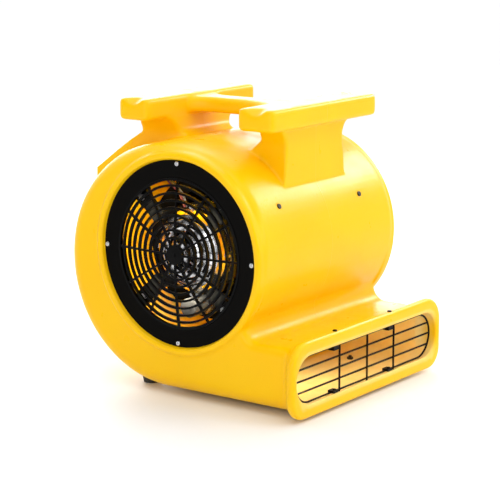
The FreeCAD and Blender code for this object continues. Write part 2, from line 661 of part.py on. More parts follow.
def motor():
    face, can, inner, back = S["motor_face"], S["can_outer_end"], S["can_inner_end"], S["motor_back"]
    radius, bearing, width = S["motor_radius"], S["bearing_outer"], S["bearing_width"]
    shaft = S["shaft_radius"] + 1.5
    turned("motor_outer_bell", [[
        (-can, radius - 3), (-can, radius), (-can - 14, radius), (-face + 6, radius - 8),
        (-face, radius - 22), (-face, bearing + 16), (-face - 3, bearing + 10),
        (-face - 6, bearing + 4), (-face - 6, 0), (-face - 3, 0), (-face - 3, bearing),
        (-face - 3 + width, bearing), (-face - 3 + width + 4, bearing + 5),
        (-face + 5, bearing + 18), (-face + 5, radius - 24), (-face + 11, radius - 12),
        (-can - 14, radius - 4), (-can - 6, radius - 3)]])
    turned("motor_can", [tube_outline(-can, -inner, radius - 3.5, radius)])
    turned("motor_inner_bell", [[
        (-inner, radius - 3), (-inner, radius), (-inner + 10, radius), (-back - 4, radius - 14),
        (-back, radius - 30), (-back, shaft), (-back - 3, shaft), (-back - 3, bearing),
        (-back - 3 - width, bearing), (-back - 3 - width, bearing + 5), (-back - 6, bearing + 10),
        (-back - 6, radius - 32), (-back - 11, radius - 18), (-inner + 8, radius - 4)]])
    turned("bearing_outer", [bearing_outline(-face - 3, -face - 3 + width)])
    turned("bearing_inner", [bearing_outline(-back - 3 - width, -back - 3)])
    core_start, core_end = -can + 17, -inner - 17
    turned("stator_core", [tube_outline(core_start, core_end, S["stator_bore"], radius - 3.5)])
    turned("stator_windings", [winding_outline(core_start - 12, core_start),
                               winding_outline(core_end, core_end + 12)])
    turned("rotor_core", [tube_outline(core_start, core_end, S["shaft_radius"],
                                       S["stator_bore"] - S["running_gap"])])
    turned("motor_shaft", [[(-face - 2, 0), (-face - 2, S["shaft_radius"] - 0.8),
                            (-face - 1.2, S["shaft_radius"]), (23, S["shaft_radius"]),
                            (24, S["shaft_radius"] - 1), (24, 0)]])
    studs = []
    for k in range(4):
        start = around_axis(-can - 13, radius + 4.4, 90 * k)
        studs.append(cylinder(2.4, can - inner + 22, start, (1, 0, 0)).fuse(
            hexagon(8, 4, around_axis(-can - 17, radius + 4.4, 90 * k), (1, 0, 0))))
    return group("motor_tie_bolts", studs)


def bearing_outline(x0, x1):
    """A sealed ball bearing: two races with a shallow seal recess on each face."""
    inner, outer = S["shaft_radius"] + 0.02, S["bearing_outer"]
    low, high = inner + 2.6, outer - 2.6
    return [(x0, inner), (x0, low), (x0 + 0.8, low), (x0 + 0.8, high), (x0, high), (x0, outer),
            (x1, outer), (x1, high), (x1 - 0.8, high), (x1 - 0.8, low), (x1, low), (x1, inner)]


def winding_outline(x0, x1):
    """The end turns of the stator winding: a ring with bevelled corners."""
    low, high = S["stator_bore"] + 4, S["motor_radius"] - 12
    return [(x0 + 3, low), (x1 - 3, low), (x1, low + 3), (x1, high - 3), (x1 - 3, high),
            (x0 + 3, high), (x0, high - 3), (x0, low + 3)]


def arm_bar(x0, x1, start, stop, angle):
    """A flat bar that lies along a radius at an angle from upright."""
    block = Part.makeBox(x1 - x0, S["arm_width"], stop - start, V(x0, -S["arm_width"] / 2, start))
    block.rotate(V(0, 0, 0), V(1, 0, 0), -angle)
    block.translate(V(0, 0, AXIS))
    return block


def arm_angles():
    return [S["arm_angle"] + 90 * k for k in range(4)]


def motor_cradle():
    """A band round the motor with four lugs; straps join them to the intake ring."""
    thick, face = S["arm_thickness"], S["motor_face"]
    lug_x = -face - thick
    band_x = -S["can_outer_end"] + 4
    radius = S["motor_radius"]
    band = Part.makeCylinder(radius + 8.4, 24, V(band_x, 0, AXIS), V(1, 0, 0))
    band = band.cut(Part.makeCylinder(radius, 24, V(band_x, 0, AXIS), V(1, 0, 0)))
    cradle = band
    for angle in arm_angles():
        leg = arm_bar(lug_x, band_x + 24, radius + 7.4, radius + 7.4 + thick, angle)
        lug = arm_bar(lug_x, lug_x + thick, radius + 7.4, S["joint_circle"] + 12, angle)
        cradle = cradle.fuse(leg).fuse(lug)
    for k in range(4):
        start = around_axis(band_x - 1, radius + 4.4, 90 * k)
        cradle = cradle.cut(cylinder(3.0, 30, start, (1, 0, 0)))
    for angle in arm_angles():
        hole = around_axis(lug_x - 1, S["joint_circle"], angle)
        cradle = cradle.cut(cylinder(3.0, 10, hole, (1, 0, 0)))
    group("motor_cradle", [cradle.removeSplitter()])

    straps, bolts, nuts, bushes, studs = [], [], [], [], []
    strap_x = lug_x - thick
    ring_back = -(S["ring_face"] - S["ring_thickness"])
    for angle in arm_angles():
        strap = arm_bar(strap_x, lug_x, S["joint_circle"] - 12, S["bush_circle"] + 5.5, angle)
        for circle in (S["joint_circle"], S["bush_circle"]):
            strap = strap.cut(cylinder(3.0, 8, around_axis(strap_x - 1, circle, angle), (1, 0, 0)))
        straps.append(strap)
        joint = around_axis(strap_x, S["joint_circle"], angle)
        bolt = hexagon(10, 4.5, around_axis(strap_x - 4.5, S["joint_circle"], angle), (1, 0, 0))
        bolts.append(bolt.fuse(cylinder(3.0, 2 * thick + 9, joint, (1, 0, 0))))
        nut = hexagon(10, 5, around_axis(lug_x + thick, S["joint_circle"], angle), (1, 0, 0))
        nuts.append(nut.cut(cylinder(3.0, 5, around_axis(lug_x + thick, S["joint_circle"], angle),
                                     (1, 0, 0))))
        bush = cylinder(7.0, strap_x - ring_back, around_axis(ring_back, S["bush_circle"], angle), (1, 0, 0))
        bush = bush.cut(cylinder(3.0, 20, around_axis(ring_back, S["bush_circle"], angle), (1, 0, 0)))
        bushes.append(bush)
        stud_length = strap_x - ring_back + thick + 8
        stud = cylinder(3.0, stud_length, around_axis(ring_back, S["bush_circle"], angle), (1, 0, 0))
        lock = hexagon(10, 5, around_axis(lug_x, S["bush_circle"], angle), (1, 0, 0))
        studs.append(stud.fuse(lock))
    group("cradle_straps", straps)
    group("cradle_bolts", bolts)
    group("cradle_nuts", nuts)
    group("cradle_bushes", bushes)
    group("cradle_studs", studs)


# ---------------------------------------------------------------- fan wheel

def wheel():
    """A double-inlet wheel: a centre plate, forward-curved blades and two end rings."""
    half, inner, outer = S["wheel_half_width"], S["wheel_inner"], S["wheel_outer"]
    body = turned("fan_wheel", [
        [(-1.5, 32), (1.5, 32), (1.5, outer), (-1.5, outer)],
        tube_outline(-half, -half + 4, inner - 2, outer + 1.5),
        tube_outline(half - 4, half, inner - 2, outer + 1.5)])
    thickness = S["blade_thickness"]
    chord_start, chord_end = V(0, inner, 0), V(-9, outer - 0.5, 0)
    bow = 4.5
    middle = (chord_start + chord_end) * 0.5
    normal = V(chord_end.y - chord_start.y, chord_start.x - chord_end.x, 0).normalize()
    front_mid, rear_mid = middle + normal * bow, middle + normal * (bow - thickness)
    shift = V(-thickness, 0, 0)
    blade = [Part.Arc(chord_start, front_mid, chord_end),
             Part.LineSegment(chord_end, chord_end + shift),
             Part.Arc(chord_end + shift, rear_mid, chord_start + shift),
             Part.LineSegment(chord_start + shift, chord_start)]
    add_polar_pad(body, blade, "YZ_Plane", "Sizes.wheel_half_width * 2 - 2", "Sizes.blade_count", "blade")
    turned("wheel_hub", [[(-16, S["shaft_radius"]), (18, S["shaft_radius"]), (18, 19), (4.5, 19),
                          (4.5, 44), (1.5, 44), (1.5, 32), (-1.5, 32), (-1.5, 44), (-4.5, 44),
                          (-4.5, 19), (-16, 19)]])
    screw = cylinder(3, 10, (11, 0, AXIS + 19), (0, 0, 1))
    screw = screw.cut(hexagon(3, 4, (11, 0, AXIS + 25), (0, 0, 1)))
    group("hub_set_screw", [screw])


# ---------------------------------------------------------------- outlet grille

def outlet_grille():
    """The grille: two long wires and two bent ends welded into a loop, three wires
    inside the loop and three across its front."""
    r = S["wire"] / 2
    half, top, low = S["loop_half_width"], S["loop_top"], S["loop_bottom"]
    y = -S["grille_depth"]
    corner = (top - low) / 2
    straight = half - corner
    bends = []
    for side in (1, -1):
        ends = [V(side * straight, y, low), V(side * half, y, low + corner),
                V(side * straight, y, top)]
        path = Part.Wire([Part.Arc(*ends).toShape()])
        section = Part.Wire(Part.makeCircle(r, ends[0], V(1, 0, 0)))
        bends.append(path.makePipeShell([section], True, False))
    wires = bends + [cylinder(r, 2 * straight, (-straight, y, z), (1, 0, 0)) for z in (low, top)]
    for k in (1, 2, 3):
        z = low + (top - low) * k / 4
        through = cylinder(r, 2 * half, (-half, y, z), (1, 0, 0)).cut(bends[0]).cut(bends[1])
        wires.append(max(through.Solids, key=lambda solid: solid.Volume))
    for k in (-1, 0, 1):
        start = (k * S["upright_pitch"], y - S["wire"], low - r)
        wires.append(cylinder(r, top - low + 2 * r, start, (0, 0, 1)))
    return group("outlet_grille", wires)


def clips():
    """Saddle clips that hold the loop's lower and upper wires, and their screws."""
    y, screw_y = -S["grille_depth"], -clip_depth()
    low_seat, low_top = S["slot_bottom"] + 0.1, S["loop_bottom"] + 4.5
    high_seat, high_low = S["slot_top"] - 0.1, S["loop_top"] - 4.5
    lower, upper, lower_screws, upper_screws = [], [], [], []
    for x in clip_places():
        for kept, wire_z, z0, z1 in ((lower, S["loop_bottom"], low_seat, low_top),
                                     (upper, S["loop_top"], high_low, high_seat)):
            block = Part.makeBox(15, 12, z1 - z0, V(x - 7.5, screw_y - 3.5, z0))
            groove = cylinder(S["wire"] / 2, 40, (x - 20, y, wire_z), (1, 0, 0))
            kept.append(block.cut(groove).cut(cylinder(2.0, 60, (x, screw_y, wire_z - 30), (0, 0, 1))))
        lower_screws.append(pan_screw(3.2, 2.2, 1.9, 12, (x, screw_y, low_top), (0, 0, 1)))
        upper_screws.append(pan_screw(4.0, 2.4, 1.9, 28, (x, screw_y, S["lip_top"]), (0, 0, 1)))
    group("lower_clips", lower)
    group("upper_clips", upper)
    group("lower_clip_screws", lower_screws)
    group("upper_clip_screws", upper_screws)


# ---------------------------------------------------------------- small parts

def feet():
    pads, screws = [], []
    for x, y in foot_places():
        pad = Part.makeCone(S["foot_radius"] - 2, S["foot_radius"], S["floor_gap"], V(x, y, 0))
        pad = pad.cut(cylinder(5.5, 4, (x, y, 0), (0, 0, 1))).cut(cylinder(3.0, 20, (x, y, 0), (0, 0, 1)))
        pads.append(pad)
        head = Part.makeCylinder(5.2, 2.5, V(x, y, 1.5))
        shank = Part.makeCylinder(2.9, 18, V(x, y, 4))
        nut = hexagon(10, 4, (x, y, S["floor_gap"] + WALL), (0, 0, 1))
        screws.append(head.fuse(shank).fuse(nut))
    group("rubber_feet", pads)
    group("foot_screws", screws)


def plugs():
    tops = []
    for x, y in plug_places():
        tops.append(cylinder(3.7, 5.4, (x, y, S["bar_top"] - 6), (0, 0, 1)))
    group("bar_plugs", tops)
    fronts = []
    for seat, normal in front_plug_places():
        fronts.append(pan_screw(4.6, 2.2, 3.0, 9, seat, normal))
    group("shoulder_screws", fronts)


def along_normal(shape):
    """Move a shape built on z = 0 to the switch panel."""
    centre, normal = switch_place()
    turn = FreeCAD.Rotation(V(1, 0, 0), V(0, 0, 0), normal, "ZXY")
    shape.Placement = FreeCAD.Placement(centre, turn).multiply(shape.Placement)
    return shape


def switch():
    """A rotary speed switch on the sloped panel: dial plate, knob and works."""
    plate = Part.makeCylinder(S["plate_radius"], 2.5, V(0, 0, 0.05))
    plate = plate.makeFillet(1.2, [e for e in plate.Edges if abs(e.CenterOfMass.z - 2.55) < 1e-6])
    plate = plate.cut(Part.makeCylinder(4.6, 5))
    for offset in switch_screw_offsets():
        plate = plate.cut(Part.makeCylinder(1.7, 5, offset))
    group("switch_plate", [along_normal(plate)])

    base = 3.0
    knob = Part.makeCone(S["knob_radius"], S["knob_radius"] - 2.5, S["knob_height"], V(0, 0, base))
    knob = knob.makeFillet(1.5, [e for e in knob.Edges if abs(e.CenterOfMass.z - base - S["knob_height"]) < 1e-6])
    for k in range(18):
        turn = math.radians(20 * k + 10)
        place = V((S["knob_radius"] + 0.6) * math.cos(turn), (S["knob_radius"] + 0.6) * math.sin(turn), base)
        knob = knob.cut(Part.makeCone(1.6, 1.6 + 2.2, S["knob_height"] + 1, place))
    pointer = Part.makeBox(3, S["knob_radius"] - 5, 2.4, V(-1.5, 2, base + S["knob_height"] - 0.4))
    socket = Part.makeCylinder(3.02, 12, V(0, 0, base))
    group("switch_knob", [along_normal(knob.fuse(pointer).cut(socket))])
    spindle = Part.makeCylinder(3.0, 22, V(0, 0, -7.5))
    group("switch_spindle", [along_normal(spindle)])

    works = Part.makeBox(34, 34, 24, V(-17, -17, -32))
    works = works.fuse(Part.makeCylinder(7.5, 5.5, V(0, 0, -8)))
    works = works.cut(Part.makeCylinder(3.05, 12, V(0, 0, -8)))
    group("switch_works", [along_normal(works)])
    screws = [along_normal(pan_screw(3.0, 1.8, 1.5, 14, offset + V(0, 0, 2.55), (0, 0, 1)))
              for offset in switch_screw_offsets()]
    group("switch_screws", screws)


def gland():
    """The mains inlet gland in the right side of the back pad, without its cord."""
    wall_x = S["pad_half_width"]
    y, z = S["gland_y"], S["gland_height"]
    thread = cylinder(9.9, 17, (wall_x - 12, y, z), (1, 0, 0))
    flange = hexagon(26, 5, (wall_x + 0.05, y, z), (1, 0, 0))
    body = thread.fuse(flange).cut(cylinder(5, 60, (wall_x - 20, y, z), (1, 0, 0)))
    group("gland_body", [body])
    nut = hexagon(26, 5, (wall_x - WALL - 5.1, y, z), (1, 0, 0)).cut(
        cylinder(9.9, 8, (wall_x - WALL - 6, y, z), (1, 0, 0)))
    group("gland_lock_nut", [nut])
    cap = cylinder(12.5, 6, (wall_x + 5.05, y, z), (1, 0, 0)).fuse(
        Part.makeCone(12.5, 7.5, 9, V(wall_x + 11.05, y, z), V(1, 0, 0)))
    group("gland_cap", [cap.cut(cylinder(4, 60, (wall_x - 20, y, z), (1, 0, 0)))])


def soft_route(points, radius):
    """A round lead along straight runs joined by tangent arcs."""
    edges = []
    start = points[0]
    for before, corner, after in zip(points, points[1:], points[2:]):
        run_in, run_out = corner - before, after - corner
        turn = run_in.getAngle(run_out)
        bend = 0.45 * min(run_in.Length, run_out.Length) / math.tan(turn / 2)
        cut = bend * math.tan(turn / 2)
        run_in.normalize()
        run_out.normalize()
        first = corner - run_in * cut
        last = corner + run_out * cut
        bisector = (run_out - run_in).normalize()
        middle = corner + bisector * (bend / math.cos(turn / 2) - bend)
        edges.append(Part.makeLine(start, first))
        edges.append(Part.Arc(first, middle, last).toShape())
        start = last
    edges.append(Part.makeLine(start, points[-1]))
    path = Part.Wire(edges)
    section = Part.Wire(Part.makeCircle(radius, points[0], points[1] - points[0]))
    return path.makePipeShell([section], True, False)


def leads():
    """Leads from the motor up the rear upper arm and over to the speed switch."""
    centre, normal = switch_place()
    under = centre - normal * 32
    route = [V(-156, 22, AXIS + 73), V(-164, 26, AXIS + 98), V(-176, 40, AXIS + 118),
             V(-174, 70, AXIS + 140), V(-158, 92, AXIS + 148), V(-118, 108, AXIS + 150),
             V(-70, 124, AXIS + 146), V(-32, 142, AXIS + 136)]
    together = [V(0, 0, 0)] * len(route)
    beside = [V(5.5, 0, 0)] * 3 + [V(4, 0, -4)] + [V(0, 0, -5.5)] * 3 + [V(4, -4, -5)]
    for label, shifts, end_x in (("lead_red", together, -7), ("lead_black", beside, 0.5)):
        end = under + V(end_x, 0, 0)
        points = [point + shift for point, shift in zip(route, shifts)] + [end - normal * 18, end]
        group(label, [soft_route(points, S["lead_radius"])])
    gland_x, y, z = S["pad_half_width"] - 12, S["gland_y"], S["gland_height"]
    end = under + V(11, 0, 0)
    tail = [V(gland_x, y, z), V(gland_x - 22, y, z), V(44, y - 26, z - 9), V(17, y - 60, z - 2),
            end - normal * 20, end]
    group("mains_lead_tail", [soft_route(tail, 3.9)])


def capacitor():
    """The motor's run capacitor beside the motor, and the strap that holds it."""
    radius, length = 17, 58
    band = S["motor_radius"] + 8.4
    angle = 180
    x0 = -S["motor_face"] + 4
    place = V(*around_axis(x0, band + radius + 2, angle))
    can = Part.makeCylinder(radius, length, place, V(1, 0, 0))
    can = can.makeFillet(2, [edge for edge in can.Edges if edge.CenterOfMass.x < x0 + 1e-6])
    for shift in (-6, 6):
        can = can.fuse(cylinder(1.6, 7, (x0 - 6, place.y + shift, place.z), (1, 0, 0)))
    group("capacitor", [can])
    strap_x = -S["can_outer_end"] + 8
    strap = cylinder(radius + 1.5, 14, (strap_x, place.y, place.z), (1, 0, 0))
    saddle = Part.makeBox(14, 22, 6, V(strap_x, place.y - 11, place.z + radius - 1.5))
    strap = strap.fuse(saddle).cut(cylinder(radius, 14, (strap_x, place.y, place.z), (1, 0, 0)))
    strap = strap.cut(cylinder(band, 14, (strap_x, 0, AXIS), (1, 0, 0)))
    group("capacitor_strap", [strap])


# ---------------------------------------------------------------- build

def build_all():
    housing()
    for name, side in (("left", -1), ("right", 1)):
        inlet_ring(name + "_inlet_ring", side)
        guard(name + "_guard", side)
        ring_screws(name + "_ring_screws", side)
    motor()
    motor_cradle()
    wheel()
    outlet_grille()
    clips()
    feet()
    plugs()
    switch()
    gland()
    leads()
    capacitor()
    doc.recompute()


def check_and_write():
    """Stop on any failed object, then write one STEP file for each node."""
    for item in doc.Objects:
        if "Invalid" in item.State or "Error" in item.State:
            raise RuntimeError("%s did not build: %s" % (item.Label, item.State))
    os.makedirs("parts", exist_ok=True)
    for node in NODES:
        shape = node.Shape
        if shape.isNull() or not shape.isValid():
            raise RuntimeError(node.Label + " has no valid shape")
        shape.exportStep(os.path.join("parts", node.Label + ".step"))
        print("%-20s solids %d  volume %.1f cm3" % (node.Label, len(shape.Solids), shape.Volume / 1000))


build_all()
check_and_write()
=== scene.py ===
"""Looks of a yellow floor air mover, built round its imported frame.

Metres, +Z up, the outlet blows along -Y and the fan turns on an axis along X.
"""
import json
import math
import bpy
import numpy as np
from mathutils import Matrix, Vector


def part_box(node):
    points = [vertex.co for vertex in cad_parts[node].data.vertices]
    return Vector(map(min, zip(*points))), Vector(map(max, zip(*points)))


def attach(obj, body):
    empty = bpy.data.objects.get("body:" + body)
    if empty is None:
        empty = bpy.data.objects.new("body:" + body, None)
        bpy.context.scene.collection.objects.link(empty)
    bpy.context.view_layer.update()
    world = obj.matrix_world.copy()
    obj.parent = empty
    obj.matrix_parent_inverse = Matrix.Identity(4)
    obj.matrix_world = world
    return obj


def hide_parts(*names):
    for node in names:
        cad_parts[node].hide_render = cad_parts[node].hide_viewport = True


MM = 0.001
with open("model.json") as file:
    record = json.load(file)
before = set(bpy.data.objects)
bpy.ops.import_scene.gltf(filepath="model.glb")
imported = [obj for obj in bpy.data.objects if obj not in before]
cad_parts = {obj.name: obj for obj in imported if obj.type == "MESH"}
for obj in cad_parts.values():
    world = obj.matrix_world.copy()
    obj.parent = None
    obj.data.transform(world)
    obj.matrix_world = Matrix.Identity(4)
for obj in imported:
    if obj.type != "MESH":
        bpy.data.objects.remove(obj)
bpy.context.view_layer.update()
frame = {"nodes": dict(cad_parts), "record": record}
NODES = frame["nodes"]


# ---------------------------------------------------------------- material tools

class Look:
    """One Principled material whose detail is placed in the part's own frame."""

    def __init__(self, name, colour, roughness, metallic=0.0, **shader_values):
        self.material = bpy.data.materials.new(name)
        self.material.use_nodes = True
        self.tree = self.material.node_tree
        self.shader = self.tree.nodes["Principled BSDF"]
        self.shader.inputs["Base Color"].default_value = (*colour, 1)
        self.shader.inputs["Roughness"].default_value = roughness
        self.shader.inputs["Metallic"].default_value = metallic
        for key, value in shader_values.items():
            self.shader.inputs[key.replace("_", " ").title()].default_value = value
        self.place = self.tree.nodes.new("ShaderNodeTexCoord").outputs["Object"]
        self.normal = None

    def node(self, kind, inputs, **settings):
        made = self.tree.nodes.new(kind)
        for key, value in settings.items():
            setattr(made, key, value)
        for key, value in inputs.items():
            if isinstance(value, bpy.types.NodeSocket):
                self.tree.links.new(value, made.inputs[key])
            else:
                made.inputs[key].default_value = value
        return made

    def noise(self, size, detail=3.0, rough=0.5, place=None):
        """Cloudy noise from 0 to 1 whose patches are about size metres across."""
        inputs = {"Vector": place or self.place, "Scale": 1 / size, "Detail": detail, "Roughness": rough}
        return self.node("ShaderNodeTexNoise", inputs).outputs["Fac"]

    def cells(self, size):
        """0 in the middle of each of many round cells about size metres across."""
        inputs = {"Vector": self.place, "Scale": 1 / size}
        return self.node("ShaderNodeTexVoronoi", inputs).outputs["Distance"]

    def stretched(self, x, y, z):
        """The part's own coordinates, scaled along each axis, so that noise comes out as streaks."""
        return self.node("ShaderNodeMapping", {"Vector": self.place, "Scale": (x, y, z)}).outputs["Vector"]

    def span(self, value, low, high, to_low=0.0, to_high=1.0):
        """value mapped from low..high to to_low..to_high, and held at the ends."""
        inputs = {0: value, 1: low, 2: high, 3: to_low, 4: to_high}
        return self.node("ShaderNodeMapRange", inputs).outputs[0]

    def maths(self, operation, *values):
        return self.node("ShaderNodeMath", dict(enumerate(values)), operation=operation).outputs[0]

    def vectors(self, operation, *values):
        made = self.node("ShaderNodeVectorMath", dict(enumerate(values)), operation=operation)
        return made.outputs["Vector"]

    def axes(self, vector):
        return self.node("ShaderNodeSeparateXYZ", {0: vector}).outputs

    def times(self, first, second):
        return self.maths("MULTIPLY", first, second)

    def mix(self, factor, first, second):
        inputs = {0: factor, 6: self._rgba(first), 7: self._rgba(second)}
        return self.node("ShaderNodeMix", inputs, data_type="RGBA").outputs[2]

    @staticmethod
    def _rgba(colour):
        return colour if isinstance(colour, bpy.types.NodeSocket) else (*colour, 1)

    def within(self, box, blur):
        """1 inside a box of the part's frame, 0 outside, with a soft rim."""
        axes = self.axes(self.place)
        inside = 1.0
        for axis, (low, high) in zip("XYZ", zip(*box)):
            past_low = self.span(axes[axis], low, low + blur)
            before_high = self.span(axes[axis], high - blur, high, 1.0, 0.0)
            inside = self.times(inside, self.times(past_low, before_high))
        return inside

    def faces(self, height):
        """1 where the surface faces a line along Y at this height, 0 where it faces away from it."""
        inward = self.vectors("SUBTRACT", (0, 0, height), self.place)
        flat = self.vectors("MULTIPLY", inward, (1, 0, 1))
        normal = self.node("ShaderNodeNewGeometry", {}).outputs["Normal"]
        facing = self.node("ShaderNodeVectorMath", {0: flat, 1: normal}, operation="DOT_PRODUCT")
        return self.span(facing.outputs["Value"], 0.0, 0.004)

    def edges(self, low=0.51, high=0.58):
        """1 on outside edges, 0 on flats and in hollows."""
        return self.span(self.node("ShaderNodeNewGeometry", {}).outputs["Pointiness"], low, high)

    def upward(self, low=0.3, high=1.0):
        """1 where the surface faces up, where dust settles."""
        normal = self.node("ShaderNodeNewGeometry", {}).outputs["Normal"]
        return self.span(self.axes(normal)["Z"], low, high)

    def colour(self, socket):
        self.tree.links.new(socket, self.shader.inputs["Base Color"])

    def gloss(self, level):
        self.shader.inputs["Specular IOR Level"].default_value = level

    def roughness(self, socket):
        self.tree.links.new(socket, self.shader.inputs["Roughness"])

    def bump(self, height, depth):
        """Adds relief about depth metres high on top of the relief already there."""
        inputs = {"Height": height, "Distance": depth, "Strength": 1.0}
        if self.normal is not None:
            inputs["Normal"] = self.normal
        self.normal = self.node("ShaderNodeBump", inputs).outputs["Normal"]
        self.tree.links.new(self.normal, self.shader.inputs["Normal"])


# ---------------------------------------------------------------- materials

FAN_HEIGHT = (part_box("left_inlet_ring")[0].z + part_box("left_inlet_ring")[1].z) / 2
LIP_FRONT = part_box("housing")[0].y
DUCT_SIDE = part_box("housing")[1].x - 14 * MM
DUCT_MIDDLE = 65 * MM
DUCT_INSIDE = [(-DUCT_SIDE, LIP_FRONT - 6 * MM, -20 * MM), (DUCT_SIDE, -60 * MM, 132 * MM)]


def moulded_yellow():
    """Thick rotomoulded polyethylene: fine orange peel, faint scuffs and a parting line, with painted
    highlights on outside edges and along creases, and paler painted light inside the duct.
    """
    look = Look("casing_yellow", (0.96, 0.55, 0.002), 0.34, subsurface_weight=0.05, subsurface_scale=0.004)
    look.shader.inputs["Subsurface Radius"].default_value = (1.0, 0.6, 0.05)
    look.gloss(0.18)
    patches = look.span(look.noise(0.16, 2), 0.35, 0.65)
    base = look.mix(patches, (0.97, 0.57, 0.0003), (0.95, 0.535, 0.0002))
    specks = look.span(look.noise(0.0016, 1), 0.66, 0.74)
    base = look.mix(look.times(specks, 0.3), base, (0.82, 0.42, 0.002))
    scratches = look.span(look.noise(0.02, 4, 0.7, look.stretched(9, 1.2, 1.2)), 0.66, 0.72)
    rubbed = look.times(scratches, look.span(look.noise(0.09, 2), 0.55, 0.7))
    base = look.mix(look.times(rubbed, 0.3), base, (0.99, 0.62, 0.06))
    # Painted highlight: paler on outside edges, where rounded edges would catch the light.
    base = look.mix(look.times(look.edges(), 0.25), base, (1.0, 0.68, 0.06))
    # Painted highlight: paler in the hollows along the creases, as if the small fillets there caught the
    # light.
    base = look.mix(look.times(look.edges(0.485, 0.44), 0.3), base, (1.0, 0.72, 0.14))
    # Painted light: inside the duct the colour is paler and greyer, standing in for light that comes through
    # the thin wall.
    inside = look.times(look.within(DUCT_INSIDE, 14 * MM), look.faces(DUCT_MIDDLE))
    mottle = look.span(look.noise(0.03, 4, 0.6), 0.35, 0.7)
    painted_duct_light = look.mix(mottle, (0.98, 0.75, 0.29), (0.94, 0.67, 0.21))
    look.colour(look.mix(inside, base, painted_duct_light))
    shine = look.span(look.noise(0.035, 4), 0.3, 0.7, 0.27, 0.40)
    look.roughness(look.maths("ADD", shine, look.times(inside, 0.25)))
    look.bump(look.noise(0.007, 2), 0.00020)
    look.bump(look.noise(0.0011, 2), 0.00005)
    look.bump(rubbed, -0.00008)
    off_middle = look.maths("ABSOLUTE", look.axes(look.place)["X"])
    parting_line = look.span(off_middle, 0.3 * MM, 1.0 * MM, 1.0, 0.0)
    look.bump(parting_line, 0.0003)
    return look.material


def black_sheet():
    """Powder-coated steel: satin black with a fine pebbled skin and a trace of dust."""
    look = Look("ring_black", (0.001, 0.001, 0.001), 0.5)
    look.gloss(0.02)
    dust = look.span(look.noise(0.03, 4, 0.6), 0.5, 0.75)
    base = look.mix(look.times(dust, 0.3), (0.0004, 0.0004, 0.0004), (0.0025, 0.0023, 0.002))
    look.colour(look.mix(look.times(look.edges(), 0.3), base, (0.012, 0.011, 0.010)))
    look.roughness(look.span(look.noise(0.02, 3), 0.3, 0.7, 0.40, 0.56))
    look.bump(look.cells(0.0014), 0.00005)
    return look.material


def black_wire():
    """Coated round wire, slightly worn and dusty on its upper side."""
    look = Look("wire_black", (0.002, 0.002, 0.002), 0.36)
    look.gloss(0.08)
    grime = look.times(look.upward(0.2, 0.9), look.span(look.noise(0.008, 3), 0.35, 0.7))
    base = look.mix(look.times(grime, 0.3), (0.0006, 0.0006, 0.0006), (0.004, 0.0035, 0.003))
    look.colour(base)
    look.roughness(look.span(look.noise(0.006, 3), 0.3, 0.7, 0.28, 0.48))
    look.bump(look.noise(0.0015, 2), 0.00008)
    return look.material


def bright_metal(name, colour, roughness, grain, relief):
    """Plated or machined metal with fine turning marks and some smudges."""
    look = Look(name, colour, roughness, 1.0)
    smudge = look.span(look.noise(grain * 6, 4, 0.6), 0.4, 0.7)
    darker = tuple(c * 0.72 for c in colour)
    look.colour(look.mix(look.times(smudge, 0.6), colour, darker))
    look.roughness(look.span(look.noise(grain * 3, 3), 0.3, 0.7, roughness * 0.7, roughness * 1.5))
    look.bump(look.noise(grain, 2, 0.6, look.stretched(1, 0.25, 1)), relief)
    return look


def plated_screw():
    """Bright zinc-plated screws; the four that hold the grille clips round the outlet are blackened."""
    look = bright_metal("screw_bright", (0.62, 0.63, 0.65), 0.24, 0.0008, 0.00004)
    plated = look.shader.inputs["Base Color"].links[0].from_socket
    mouth = [(-DUCT_SIDE, LIP_FRONT, -20 * MM), (DUCT_SIDE, -120 * MM, 150 * MM)]
    at_outlet = look.within(mouth, 2 * MM)
    look.colour(look.mix(at_outlet, plated, (0.012, 0.011, 0.010)))
    return look


SLOT_ROWS = ((18 * MM, 27 * MM), (32 * MM, 38 * MM), (44 * MM, 49 * MM), (56 * MM, 60 * MM))
SLOTS_IN_A_ROW = 8.0


def cast_alloy():
    """Die-cast aluminium end bell: bright turned bands between rows of vent slots that are only painted, dark
    painted shade where the openings would be, with a shallow bump.
    """
    look = Look("motor_alloy", (0.88, 0.89, 0.91), 0.2, 1.0)
    spoke = look.vectors("MULTIPLY", look.vectors("SUBTRACT", look.place, (0, 0, FAN_HEIGHT)), (0, 1, 1))
    radius = look.node("ShaderNodeVectorMath", {0: spoke}, operation="LENGTH").outputs["Value"]
    # Painted shade: the vent slots are not in the geometry; their rows are coloured dark, as openings in
    # shade would look.
    slot_mask_painted_dark = 0.0
    for inner, outer in SLOT_ROWS:
        past_inner = look.span(radius, inner, inner + 1 * MM)
        before_outer = look.span(radius, outer - 1 * MM, outer, 1.0, 0.0)
        slot_mask_painted_dark = look.maths("MAXIMUM", slot_mask_painted_dark, look.times(past_inner, before_outer))
    turn = look.maths("ARCTAN2", look.axes(spoke)["Z"], look.axes(spoke)["Y"])
    bridges = look.maths("COSINE", look.times(turn, SLOTS_IN_A_ROW))
    slot_mask_painted_dark = look.times(slot_mask_painted_dark, look.span(bridges, 0.86, 0.92, 1.0, 0.0))
    patches = look.span(look.noise(0.012, 4, 0.6), 0.35, 0.7)
    bright = look.mix(patches, (0.86, 0.87, 0.89), (0.50, 0.51, 0.53))
    look.colour(look.mix(slot_mask_painted_dark, bright, (0.006, 0.006, 0.006)))
    look.roughness(look.span(look.noise(0.004, 3), 0.3, 0.7, 0.12, 0.24))
    look.bump(slot_mask_painted_dark, -0.0012)
    look.bump(look.noise(0.0016, 3), 0.00001)
    return look.material


